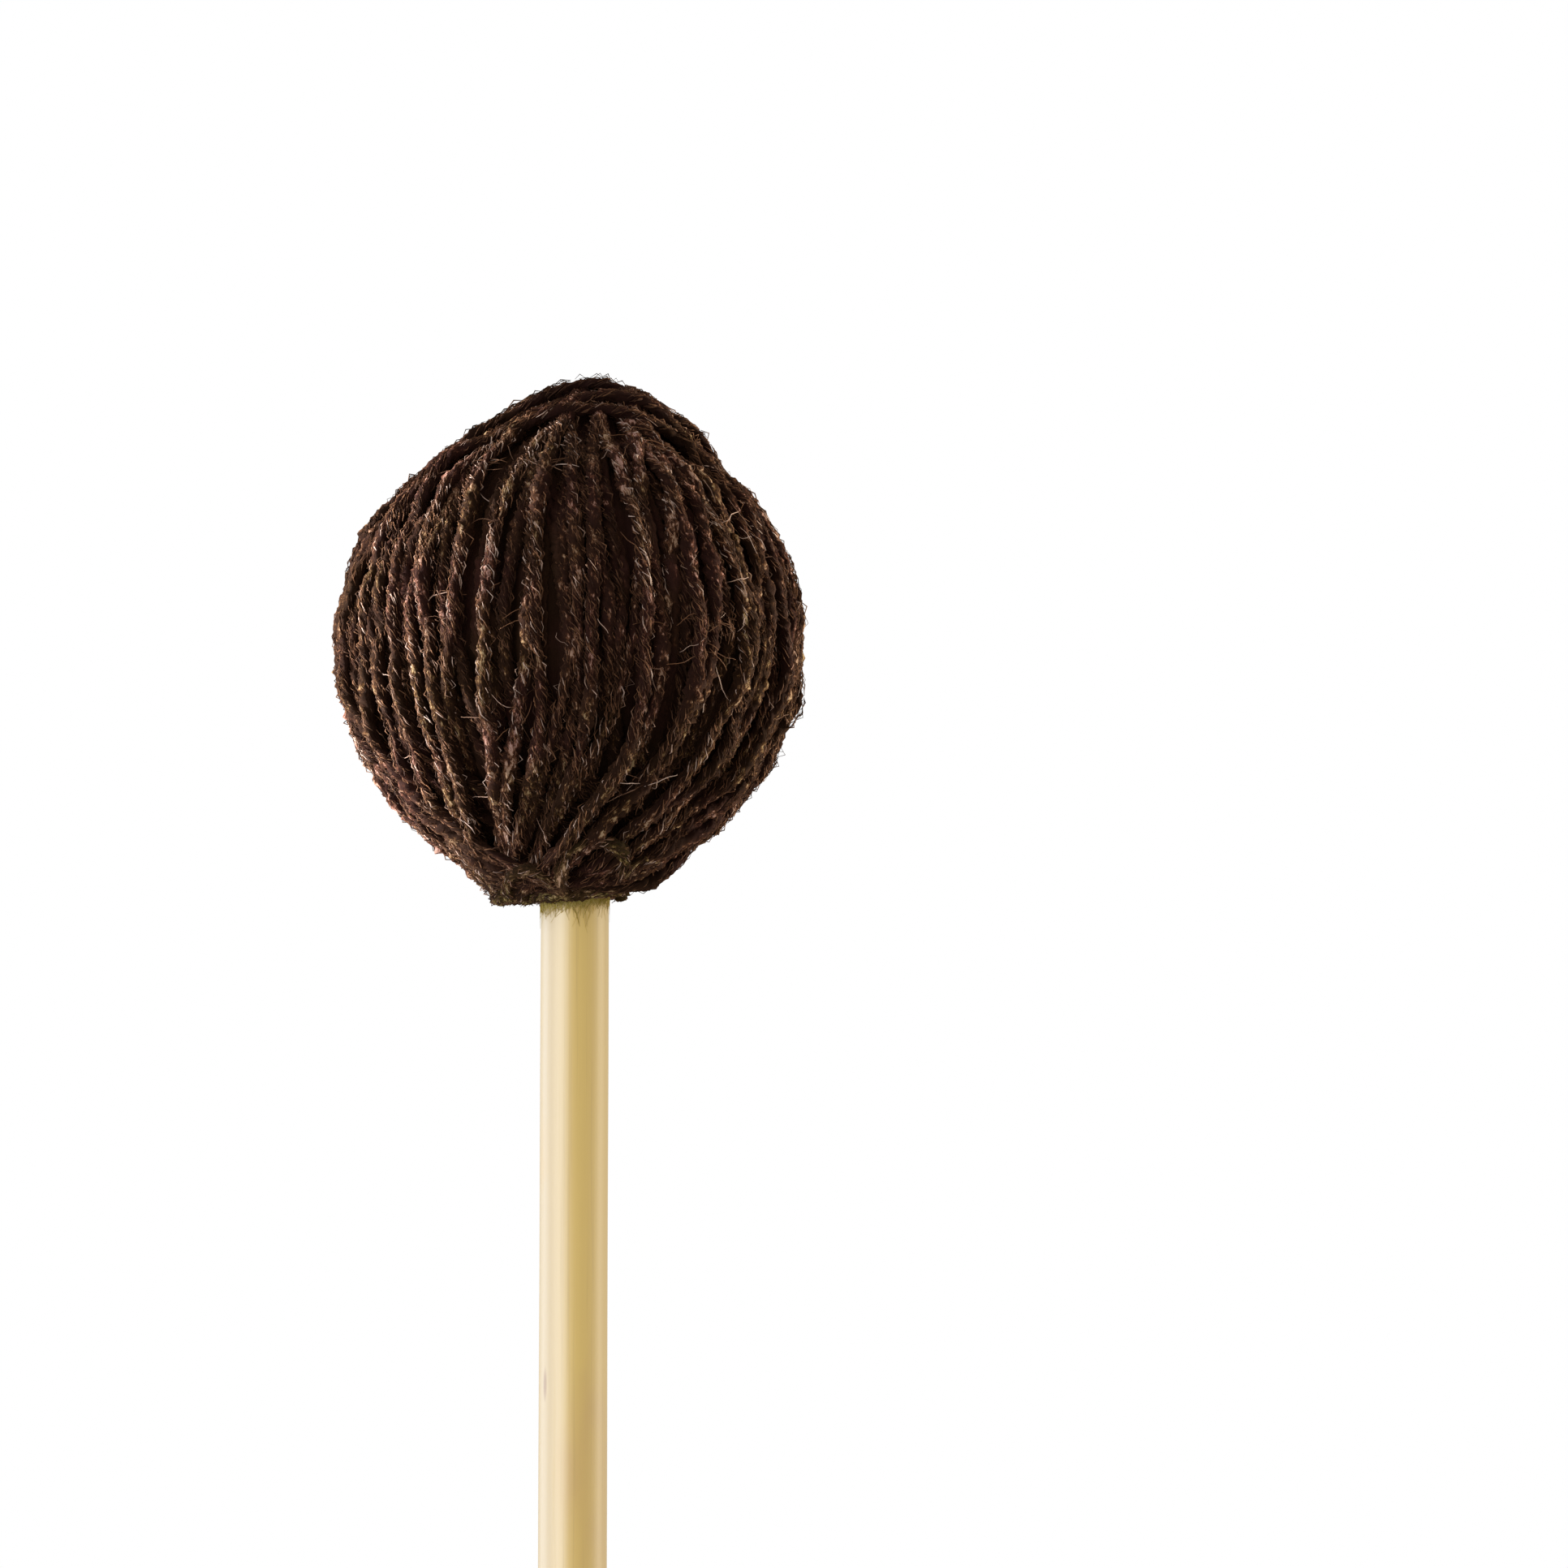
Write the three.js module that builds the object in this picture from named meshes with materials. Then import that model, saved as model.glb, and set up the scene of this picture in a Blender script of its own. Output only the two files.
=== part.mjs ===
import * as THREE from "three";

// Sizes, in millimetres. The mallet stands along Z with its head at the top,
// its front towards -Y, and the point where the player holds it at the origin.
const gripFromButt = 110;

// Clearance between pieces that touch on the real mallet.
const seatGap = 0.3;

// Handle: a rattan rod, cut square at the butt and glued into the core.
const handleDiameter = 4.8;
const handleLength = 376;
const buttEdgeRadius = 0.45;
const headEndBevel = 0.6;
const handleSides = 32;
const buttEdgeSteps = 4;

// Core: a rubber ball with a blind bore whose mouth is widened for the glue.
const coreDiameter = 19;
const boreDepth = 14.5;
const glueWidth = 1.4;
const glueDepth = 1.5;
const coreSides = 36;
const coreSteps = 14;

// Inner winding: the lower layers of yarn, thick at the belly and thin at the poles.
const bellyThickness = 5.5;
const crownThickness = 2.5;
const baseThickness = 0.9;
const bodyFullness = 2.5;
const bodySides = 40;
const bodySteps = 24;

// Yarn: the thickness of the strand and the free space between its turns.
const yarnDiameter = 1;
const yarnGap = 0.42;
const yarnSides = 6;

// Outer winding: loops from pole to pole, in bundles that cross at the poles.
// The loops of a bundle lie side by side over the crown, a little wider than the strand
// needs, and under the head they part round the handle from this distance off the axis.
const bundles = 4;
const loopsPerBundle = 6;
const stepsPerLoop = 24;
const laneShare = 1.04;
const partingDistance = 14;

// Base stitch: yarn drawn round the handle close under the head.
const stitchTurns = 1;
const stitchCorners = 12;

// Laying of the yarn: the share of a shortfall that one round makes up, the share of it
// that reaches the far end of a step, the least lift, and the step of the base stitch.
const liftShare = 0.8;
const farEndShare = 0.05;
const leastLift = 0.003;
const layingRounds = 400;
const seatingStep = 0.05;
const measuredPerStep = 8;

// Sizes that follow from those above.
const handleRadius = handleDiameter / 2;
const boreRadius = handleRadius + seatGap;
const mouthRadius = boreRadius + glueWidth;
const coreRadius = coreDiameter / 2;
const mouthHeight = -Math.sqrt(coreRadius ** 2 - mouthRadius ** 2);
const boreTop = boreDepth - coreRadius;
const hollowRadius = coreRadius + seatGap;
const bodyRadius = hollowRadius + bellyThickness;
const crownRise = hollowRadius + crownThickness;
const baseDrop = hollowRadius + baseThickness;
const yarnRadius = yarnDiameter / 2;
const strandPitch = yarnDiameter + yarnGap;
const lanePitch = strandPitch * laneShare;
const bundleTurn = Math.PI / bundles;
const passTurn = bundleTurn / loopsPerBundle;
const firstBearing = bundleTurn;
const middleLane = (loopsPerBundle - 1) / 2;
const headCentreHeight = handleLength - gripFromButt - (boreTop - seatGap);
const up = new THREE.Vector3(0, 0, 1);

// Turned solid: the profile's points are [radius, height].
function turned(profile, sides) {
  const points = profile.map(([radius, height]) => new THREE.Vector2(radius, height));
  return new THREE.LatheGeometry(points, sides).rotateX(Math.PI / 2);
}

// Points of an arc round [radius, height], from one angle to another.
function arc(centre, arcRadius, from, to, steps) {
  return Array.from({ length: steps + 1 }, (_, step) => {
    const angle = from + ((to - from) * step) / steps;
    return [centre[0] + arcRadius * Math.cos(angle), centre[1] + arcRadius * Math.sin(angle)];
  });
}

// Handle: from the eased edge of the butt to the bevelled end in the core.
function handleGeometry() {
  const butt = -gripFromButt;
  const end = butt + handleLength;
  const edgeCentre = [handleRadius - buttEdgeRadius, butt + buttEdgeRadius];
  return turned(
    [
      [0, butt],
      ...arc(edgeCentre, buttEdgeRadius, -Math.PI / 2, 0, buttEdgeSteps),
      [handleRadius, end - headEndBevel],
      [handleRadius - headEndBevel, end],
      [0, end],
    ],
    handleSides,
  );
}

// Core: the bore from its closed end to its widened mouth, then the ball up to its top.
function coreGeometry() {
  const mouthAngle = Math.atan2(mouthHeight, mouthRadius);
  const ball = arc([0, 0], coreRadius, mouthAngle, Math.PI / 2, coreSteps);
  ball[coreSteps][0] = 0;
  return turned(
    [
      ...ball.reverse(),
      [mouthRadius, mouthHeight + glueDepth],
      [boreRadius, mouthHeight + glueDepth],
      [boreRadius, boreTop],
      [0, boreTop],
    ].reverse(),
    coreSides,
  );
}

// Glue: the ring that set in the widened mouth of the bore, round the handle.
function glueGeometry() {
  const outside = mouthRadius - seatGap;
  const top = mouthHeight + glueDepth - seatGap;
  return turned(
    [
      [boreRadius, mouthHeight],
      [outside, mouthHeight],
      [outside, top],
      [boreRadius, top],
      [boreRadius, mouthHeight],
    ],
    coreSides,
  );
}

// Place on the inner winding in a direction from the centre of the head, and the way out
// of it. The form is a full ellipse turned round the axis, flatter at the base.
function onBody(direction) {
  const rise = direction.z > 0 ? crownRise : baseDrop;
  const flankShare = (Math.hypot(direction.x, direction.y) / bodyRadius) ** bodyFullness;
  const poleShare = (Math.abs(direction.z) / rise) ** bodyFullness;
  const place = direction.clone().multiplyScalar((flankShare + poleShare) ** (-1 / bodyFullness));
  const radius = Math.hypot(place.x, place.y);
  const outward = new THREE.Vector3(place.x, place.y, 0);
  outward.setLength((radius / bodyRadius) ** (bodyFullness - 1) / bodyRadius);
  outward.z = (Math.sign(place.z) * (Math.abs(place.z) / rise) ** (bodyFullness - 1)) / rise;
  return { place, outward: outward.normalize() };
}

// Inner winding: the hollow of the core down to the handle, then the outside to the crown.
function innerWindingGeometry() {
  const innerMouth = Math.acos(boreRadius / hollowRadius);
  const hollow = arc([0, 0], hollowRadius, Math.PI / 2, -innerMouth, coreSteps);
  hollow[0][0] = 0;
  const outerMouth = Math.atan2(-baseDrop, boreRadius);
  const outside = Array.from({ length: bodySteps + 1 }, (_, step) => {
    const angle = outerMouth + ((Math.PI / 2 - outerMouth) * step) / bodySteps;
    const { place } = onBody(new THREE.Vector3(Math.cos(angle), 0, Math.sin(angle)));
    return [place.x, place.z];
  });
  outside[0][0] = boreRadius;
  outside[bodySteps][0] = 0;
  return turned([...hollow, ...outside], bodySides);
}

// Point of a strand: it rests on the inner winding, or is lifted off it by what lies below.
// Points that share a seat are lifted alike.
function strandPoint(direction, seat = { lift: 0 }) {
  return { ...onBody(direction), seat, at: new THREE.Vector3() };
}

function settle(point) {
  const height = seatGap + yarnRadius + point.seat.lift;
  point.at.copy(point.place).addScaledVector(point.outward, height);
}

// Straight stretches between the points of a strand.
function stretches(points) {
  return points.slice(1).map((to, index) => {
    const from = points[index];
    return { from, to, line: new THREE.Line3(from.at, to.at) };
  });
}

// Places where a fresh stretch comes nearer than the pitch to those wound already: by how
// much it falls short, and how far along the fresh stretch.
function shortfalls(above, wound) {
  const onFresh = new THREE.Vector3();
  const onWound = new THREE.Vector3();
  const length = above.line.distance();
  const found = [];
  for (const below of wound) {
    if (below.to === above.from) continue;
    const reach = length + below.line.distance() + strandPitch;
    if (above.from.at.distanceTo(below.from.at) > reach) continue;
    const distance = Math.sqrt(above.line.distanceSqToLine3(below.line, onFresh, onWound));
    if (distance >= strandPitch) continue;
    found.push({ short: strandPitch - distance, share: onFresh.distanceTo(above.from.at) / length });
  }
  return found;
}

// Lays a span of strand over the stretches that are wound already: its points are lifted,
// the nearer point the more, until it is clear.
function layOver(span, wound) {
  span.forEach(settle);
  const fresh = stretches(span);
  for (let round = 0; round < layingRounds; round++) {
    const lifts = new Map();
    const raise = (seat, lift) => lifts.set(seat, Math.max(lifts.get(seat) ?? 0, lift));
    for (const above of fresh) {
      for (const { short, share } of shortfalls(above, wound)) {
        const lift = short * liftShare + leastLift;
        raise(above.from.seat, lift * Math.max(1 - share, farEndShare));
        raise(above.to.seat, lift * Math.max(share, farEndShare));
      }
    }
    if (lifts.size === 0) break;
    lifts.forEach((lift, seat) => (seat.lift += lift));
    span.forEach(settle);
  }
  wound.push(...fresh);
}

// Larger of two sizes, with a rounded change from one to the other.
function roundedLarger(first, second, blend) {
  const difference = first - second;
  if (difference > blend) return first;
  if (difference < -blend) return second;
  return second + (difference + blend) ** 2 / (4 * blend);
}

// Distance of a loop from the middle of its bundle, before it is laid on the body. From
// the belly the lanes close in like meridians until they lie side by side at the pole.
// Under the head each lane moves out to its slot on one side of the handle.
function acrossBundle(lane, away, spread, slot) {
  const offCentre = lane - middleLane;
  const meridian = away * Math.sin(Math.abs(offCentre) * passTurn);
  const sideBySide = Math.abs(offCentre) * lanePitch * spread;
  const closing = Math.sign(offCentre) * roundedLarger(meridian, sideBySide, lanePitch / 2);
  if (slot === undefined) return closing;
  const offMiddle = slot - middleLane;
  const slotsOut = Math.abs(offMiddle) - 1 / 2;
  const besideHandle = boreRadius + yarnRadius + slotsOut * lanePitch;
  const slotPlace = Math.sign(offMiddle) * besideHandle * spread;
  return slotPlace + (closing - slotPlace) * Math.min(1, away / partingDistance);
}

// Direction of a loop from the centre of the head. The turn is 0 at the belly on the
// bundle's front, a quarter at the crown and three quarters at the base. The first bundle
// is turned so that the last one runs from side to side over the crown.
function loopDirection(bundle, lane, turn, slot) {
  const angle = turn * 2 * Math.PI;
  const middle = onBody(new THREE.Vector3(Math.cos(angle), 0, Math.sin(angle)));
  const spread = bodyRadius / middle.place.length();
  const away = bodyRadius * Math.abs(Math.cos(angle));
  const along = bodyRadius * Math.cos(angle) * Math.cos((lane - middleLane) * passTurn);
  const across = acrossBundle(lane, away, spread, slot);
  const direction = new THREE.Vector3(along, across, bodyRadius * Math.sin(angle));
  return direction.applyAxisAngle(up, firstBearing + bundle * bundleTurn);
}

const halfLoop = stepsPerLoop / 2;
const quarterLoop = stepsPerLoop / 4;

// Over the crown, from belly to belly, in the loop's own lane.
function crownSpan(bundle, lane) {
  return Array.from({ length: halfLoop }, (_, step) =>
    strandPoint(loopDirection(bundle, lane, (step + 1) / stepsPerLoop)),
  );
}

// Under the base, from belly to belly, past the handle and into the next lane.
function baseSpan(bundle, lane) {
  return Array.from({ length: halfLoop }, (_, step) => {
    const turn = 1 / 2 + (step + 1) / stepsPerLoop;
    const laneNow = step < quarterLoop ? lane : lane + 1;
    return strandPoint(loopDirection(bundle, laneNow, turn, lane));
  });
}

// From the handle to the belly on one meridian: one of the two ends of the strand. It
// leaves the handle square to it and runs straight for more than the strand's diameter.
function endSpan(bearing) {
  const onMeridian = (radius, height) =>
    new THREE.Vector3(radius * Math.cos(bearing), radius * Math.sin(bearing), height);
  const seat = { lift: 0 };
  const end = [boreRadius, boreRadius + yarnDiameter].map((radius) => {
    const point = strandPoint(onMeridian(radius, -baseDrop), seat);
    point.place.copy(onMeridian(radius, -baseDrop));
    point.outward.copy(up).negate();
    return point;
  });
  const rise = [];
  for (let step = 2; step <= quarterLoop; step++) {
    const angle = ((step - quarterLoop) / stepsPerLoop) * 2 * Math.PI;
    rise.push(strandPoint(onMeridian(bodyRadius * Math.cos(angle), bodyRadius * Math.sin(angle))));
  }
  return [...end, ...rise];
}

// Outer winding: one strand from the handle, over and under in lane after lane and
// bundle after bundle, and back to the handle. Each span lies over those before it.
function windOuterStrand(wound) {
  const halfBundle = middleLane * passTurn;
  const lastBearing = firstBearing + (bundles - 1) * bundleTurn + Math.PI;
  const strand = endSpan(firstBearing - halfBundle);
  layOver(strand, wound);
  const addSpan = (points) => {
    layOver([strand.at(-1), ...points], wound);
    strand.push(...points);
  };
  for (let bundle = 0; bundle < bundles; bundle++) {
    for (let lane = 0; lane < loopsPerBundle; lane++) {
      addSpan(crownSpan(bundle, lane));
      const last = bundle === bundles - 1 && lane === loopsPerBundle - 1;
      addSpan(last ? endSpan(lastBearing - halfBundle).reverse().slice(1) : baseSpan(bundle, lane));
    }
  }
  return strand;
}

// Base stitch: a turn round the handle, drawn up as near to the winding as is clear.
function sewBaseStitch(wound) {
  const cornerTurn = (2 * Math.PI) / stitchCorners;
  const radius = (boreRadius + yarnRadius) / Math.cos(cornerTurn / 2);
  const turns = Array.from({ length: stitchTurns * stitchCorners + 2 }, (_, step) => {
    const angle = cornerTurn * step;
    const drop = baseDrop + (strandPitch * step) / stitchCorners;
    const at = new THREE.Vector3(radius * Math.cos(angle), radius * Math.sin(angle), -drop);
    return { at, outward: up };
  });
  const fresh = stretches(turns);
  while (fresh.some((stretch) => shortfalls(stretch, wound).length > 0)) {
    turns.forEach(({ at }) => (at.z -= seatingStep));
  }
  return turns;
}

// Yarn: a tube with flat ends round the points of a strand, its joints mitred.
function yarnGeometry(points) {
  const centres = points.map(({ at }) => at);
  const ways = centres.slice(1).map((to, index) => to.clone().sub(centres[index]).normalize());
  const positions = [];
  const faces = [];
  const side = new THREE.Vector3().crossVectors(ways[0], points[0].outward).normalize();
  centres.forEach((centre, ring) => {
    const before = ways[Math.max(ring - 1, 0)];
    const after = ways[Math.min(ring, ways.length - 1)];
    const way = before.clone().add(after).normalize();
    side.addScaledVector(way, -side.dot(way)).normalize();
    const across = new THREE.Vector3().crossVectors(way, side);
    for (let corner = 0; corner < yarnSides; corner++) {
      const angle = (2 * Math.PI * corner) / yarnSides;
      const offset = side.clone().multiplyScalar(Math.cos(angle)).addScaledVector(across, Math.sin(angle));
      positions.push(...offset.multiplyScalar(yarnRadius).add(centre).toArray());
    }
  });
  const corner = (ring, index) => ring * yarnSides + (index % yarnSides);
  for (let ring = 0; ring < ways.length; ring++) {
    for (let index = 0; index < yarnSides; index++) {
      faces.push(corner(ring, index), corner(ring, index + 1), corner(ring + 1, index + 1));
      faces.push(corner(ring, index), corner(ring + 1, index + 1), corner(ring + 1, index));
    }
  }
  for (let index = 1; index < yarnSides - 1; index++) {
    faces.push(corner(0, 0), corner(0, index + 1), corner(0, index));
    faces.push(corner(ways.length, 0), corner(ways.length, index), corner(ways.length, index + 1));
  }
  const geometry = new THREE.BufferGeometry();
  geometry.setAttribute("position", new THREE.Float32BufferAttribute(positions, 3));
  geometry.setIndex(faces);
  geometry.computeVertexNormals();
  return geometry;
}

// Least gap of a strand to itself, measured on points along its middle line. Points
// nearer than a pitch along the strand are its own turn and don't count.
function leastGap(points) {
  const measured = stretches(points).flatMap(({ line }) =>
    Array.from({ length: measuredPerStep }, (_, step) => line.at(step / measuredPerStep, new THREE.Vector3())),
  );
  const skip = 2 * measuredPerStep;
  let least = Infinity;
  for (let first = 0; first < measured.length; first++) {
    for (let second = first + skip; second < measured.length; second++) {
      least = Math.min(least, measured[first].distanceTo(measured[second]));
    }
  }
  return least - yarnDiameter;
}

function piece(name, geometry, color, roughness) {
  const material = new THREE.MeshStandardMaterial({ color, roughness, metalness: 0 });
  const mesh = new THREE.Mesh(geometry, material);
  mesh.name = name;
  return mesh;
}

const wound = [];
const strand = windOuterStrand(wound);
const baseStitch = sewBaseStitch(wound);
console.log("least gap of the outer winding to itself, mm:", leastGap(strand).toFixed(3));

// The head is built round its own centre and set on the end of the handle.
const head = new THREE.Group();
head.position.z = headCentreHeight;
head.add(
  piece("rubber_core", coreGeometry(), 0x35302c, 0.8),
  piece("core_glue", glueGeometry(), 0xc9a66b, 0.35),
  piece("inner_winding", innerWindingGeometry(), 0x2a1a12, 0.98),
  piece("outer_winding", yarnGeometry(strand), 0x4e3325, 0.95),
  piece("base_stitch", yarnGeometry(baseStitch), 0x5d4030, 0.95),
);

const mallet = new THREE.Group();
mallet.add(piece("rattan_handle", handleGeometry(), 0xe0c595, 0.42), head);

export default mallet;
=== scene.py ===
import math

import bpy
import numpy as np
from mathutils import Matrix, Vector


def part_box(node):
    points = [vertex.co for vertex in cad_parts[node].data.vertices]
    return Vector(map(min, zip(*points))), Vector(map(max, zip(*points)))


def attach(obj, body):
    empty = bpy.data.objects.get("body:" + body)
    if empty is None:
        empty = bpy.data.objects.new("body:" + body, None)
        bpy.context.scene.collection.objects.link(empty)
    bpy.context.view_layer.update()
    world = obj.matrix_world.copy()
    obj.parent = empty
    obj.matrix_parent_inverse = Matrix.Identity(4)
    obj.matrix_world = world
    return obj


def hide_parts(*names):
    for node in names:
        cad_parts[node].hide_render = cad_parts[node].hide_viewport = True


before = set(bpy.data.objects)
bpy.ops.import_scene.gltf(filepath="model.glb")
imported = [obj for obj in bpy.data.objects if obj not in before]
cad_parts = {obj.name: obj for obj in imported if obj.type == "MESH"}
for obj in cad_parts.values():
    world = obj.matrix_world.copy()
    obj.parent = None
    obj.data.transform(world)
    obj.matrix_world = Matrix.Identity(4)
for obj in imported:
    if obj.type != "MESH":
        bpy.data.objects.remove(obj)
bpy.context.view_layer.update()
chance = np.random.default_rng(33)

# Rattan handle
# A straight rod cut from a climbing palm, sanded, lacquered and cut square at the butt.
# Its long vessels show as fine streaks, a few brown flecks and open pores on the cut end.
handle_low, handle_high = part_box("rattan_handle")
handle_radius = (handle_high.x - handle_low.x) / 2
butt_edge_radius = 0.00045
head_end_bevel = 0.0006
edge_steps = 7
rod_sides = 120
rod_rings = 160
rod_unevenness = 0.000012
rod_waves = ((210, 2), (67, -3))
rattan_light = (0.80, 0.53, 0.098, 1)
rattan_mid = (0.75, 0.485, 0.082, 1)
rattan_dark = (0.61, 0.38, 0.060, 1)
rattan_cloud = (0.69, 0.42, 0.095, 1)
# Painted highlight: the next colour makes the rod's left side paler, standing in for the light there.
rattan_painted_highlight = (0.655, 0.462, 0.195, 1)
rattan_fleck = (0.42, 0.22, 0.055, 1)
rattan_pore = (0.20, 0.11, 0.05, 1)
rattan_stops = [(0.30, rattan_mid), (0.55, rattan_light), (0.72, rattan_mid)]
broad_streaks = (520, 520, 9)
broad_detail = 3.0
fine_streaks = (3600, 3600, 34)
fine_detail = (5.0, 0.65)
fine_streak_band = (0.55, 0.78)
streak_relief = 0.00006
streak_bump = 0.35
# Painted highlight: shares of the radius towards -X between which the left side turns paler.
painted_highlight_shares = (-0.10, -0.64)
cloud_scale = (170, 170, 60)
cloud_band = (0.52, 0.75)
fleck_scale = (520, 520, 95)
fleck_band = (0.13, 0.05)
pore_scale = (3600, 3600, 0)
pore_band = (0.34, 0.20)
pore_spread = 0.8
cut_face_band = (-0.80, -0.95)
rattan_roughness = 0.52
lacquer_roughness = 0.45
lacquer_index = 2.3


def put(tree, kind, **settings):
    """Adds a shader node. A setting that names an input sets it, and any other sets the node."""
    node = tree.nodes.new(kind)
    for name, value in settings.items():
        if hasattr(node, name):
            setattr(node, name, value)
        else:
            node.inputs[name.replace("_", " ")].default_value = value
    return node


def finish_named(name, roughness):
    """A new material, its node tree and its shader, whose roughness is set."""
    material = bpy.data.materials.new(name)
    material.use_nodes = True
    shader = material.node_tree.nodes["Principled BSDF"]
    shader.inputs["Roughness"].default_value = roughness
    return material, material.node_tree, shader


def stretched(tree, source, scale):
    """Coordinates with each axis multiplied by its own scale."""
    mapping = put(tree, "ShaderNodeMapping")
    mapping.inputs["Scale"].default_value = scale
    tree.links.new(source, mapping.inputs["Vector"])
    return mapping.outputs["Vector"]


def noise(tree, source, scale, detail=4.0, roughness=0.55):
    """Noise between 0 and 1 over coordinates that are stretched by scale first."""
    texture = put(tree, "ShaderNodeTexNoise", Scale=1.0, Detail=detail, Roughness=roughness)
    tree.links.new(stretched(tree, source, scale), texture.inputs["Vector"])
    return texture.outputs["Fac"]


def ramp(tree, share, stops):
    """Colour read off a ramp: stops are (place, colour), from low to high."""
    node = put(tree, "ShaderNodeValToRGB")
    elements = node.color_ramp.elements
    while len(elements) < len(stops):
        elements.new(0.5)
    for element, (place, colour) in zip(elements, stops):
        element.position = place
        element.color = colour
    tree.links.new(share, node.inputs["Fac"])
    return node.outputs["Color"]


def mixed(tree, share, first, second, way="MIX"):
    """Two colours mixed by a share: each of the three is a socket or a plain value."""
    node = put(tree, "ShaderNodeMix", data_type="RGBA", blend_type=way)
    for socket, value in ((node.inputs[0], share), (node.inputs[6], first), (node.inputs[7], second)):
        if isinstance(value, bpy.types.NodeSocket):
            tree.links.new(value, socket)
        else:
            socket.default_value = value
    return node.outputs[2]


def between(tree, value, low, high):
    """0 at the low value and 1 at the high one, straight between and held beyond."""
    node = put(tree, "ShaderNodeMapRange", From_Min=low, From_Max=high)
    tree.links.new(value, node.inputs["Value"])
    return node.outputs["Result"]


def bumped(tree, shader, height, strength, distance):
    """Tilts the shader's normal by a height, whose full step is a distance in metres."""
    bump = put(tree, "ShaderNodeBump", Strength=strength, Distance=distance)
    tree.links.new(height, bump.inputs["Height"])
    tree.links.new(bump.outputs["Normal"], shader.inputs["Normal"])


def lacquered_rattan():
    """Rattan under a satin lacquer: broad and fine streaks along the rod, a painted highlight that
    makes the side to the left paler, faint clouds, brown flecks, and open pores on the face that
    is cut square."""
    material, tree, shader = finish_named("lacquered_rattan", rattan_roughness)
    coordinates = put(tree, "ShaderNodeTexCoord")
    place = coordinates.outputs["Object"]
    broad = noise(tree, place, broad_streaks, broad_detail)
    fine = noise(tree, place, fine_streaks, *fine_detail)
    colour = ramp(tree, broad, rattan_stops)
    across = put(tree, "ShaderNodeSeparateXYZ")
    tree.links.new(place, across.inputs["Vector"])
    # Painted highlight: the side towards -X, the left, is mixed towards a paler colour.
    painted_highlight_from, painted_highlight_at = [handle_radius * share for share in painted_highlight_shares]
    painted_highlight_side = between(tree, across.outputs["X"], painted_highlight_from, painted_highlight_at)
    colour = mixed(tree, painted_highlight_side, colour, rattan_painted_highlight)
    cloud = noise(tree, place, cloud_scale, broad_detail)
    colour = mixed(tree, between(tree, cloud, *cloud_band), colour, rattan_cloud)
    colour = mixed(tree, between(tree, fine, *fine_streak_band), colour, rattan_dark)
    flecks = put(tree, "ShaderNodeTexVoronoi", Scale=1.0, Randomness=1.0)
    tree.links.new(stretched(tree, place, fleck_scale), flecks.inputs["Vector"])
    fleck = between(tree, flecks.outputs["Distance"], *fleck_band)
    colour = mixed(tree, fleck, colour, rattan_fleck)
    pores = put(tree, "ShaderNodeTexVoronoi", Scale=1.0, Randomness=pore_spread)
    tree.links.new(stretched(tree, place, pore_scale), pores.inputs["Vector"])
    pore = between(tree, pores.outputs["Distance"], *pore_band)
    cut_face = mixed(tree, pore, rattan_light, rattan_pore)
    facing = put(tree, "ShaderNodeSeparateXYZ")
    tree.links.new(coordinates.outputs["Normal"], facing.inputs["Vector"])
    on_cut = between(tree, facing.outputs["Z"], *cut_face_band)
    tree.links.new(mixed(tree, on_cut, colour, cut_face), shader.inputs["Base Color"])
    bumped(tree, shader, fine, streak_bump, streak_relief)
    shader.inputs["Coat Weight"].default_value = 1.0
    shader.inputs["Coat Roughness"].default_value = lacquer_roughness
    shader.inputs["Coat IOR"].default_value = lacquer_index
    return material


def put_mesh(name, points, faces):
    """Mesh object from points and from arrays of faces, each array with its own corner count."""
    mesh = bpy.data.meshes.new(name)
    mesh.vertices.add(len(points))
    mesh.vertices.foreach_set("co", np.asarray(points, np.float32).ravel())
    corners = np.concatenate([group.ravel() for group in faces]).astype(np.int32)
    counts = np.concatenate([np.full(len(group), group.shape[1]) for group in faces])
    mesh.loops.add(len(corners))
    mesh.loops.foreach_set("vertex_index", corners)
    mesh.polygons.add(len(counts))
    starts = np.concatenate([[0], np.cumsum(counts)[:-1]]).astype(np.int32)
    mesh.polygons.foreach_set("loop_start", starts)
    mesh.update(calc_edges=True)
    mesh.shade_smooth()
    piece = bpy.data.objects.new(name, mesh)
    bpy.context.scene.collection.objects.link(piece)
    return piece


def grid_faces(rows, columns):
    """Quads of a grid whose columns close on themselves, row by row."""
    row, column = np.meshgrid(np.arange(rows - 1), np.arange(columns), indexing="ij")
    ahead = (column + 1) % columns
    here = row * columns
    above = here + columns
    quads = [here + column, here + ahead, above + ahead, above + column]
    return np.stack(quads, -1).reshape(-1, 4)


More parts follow.
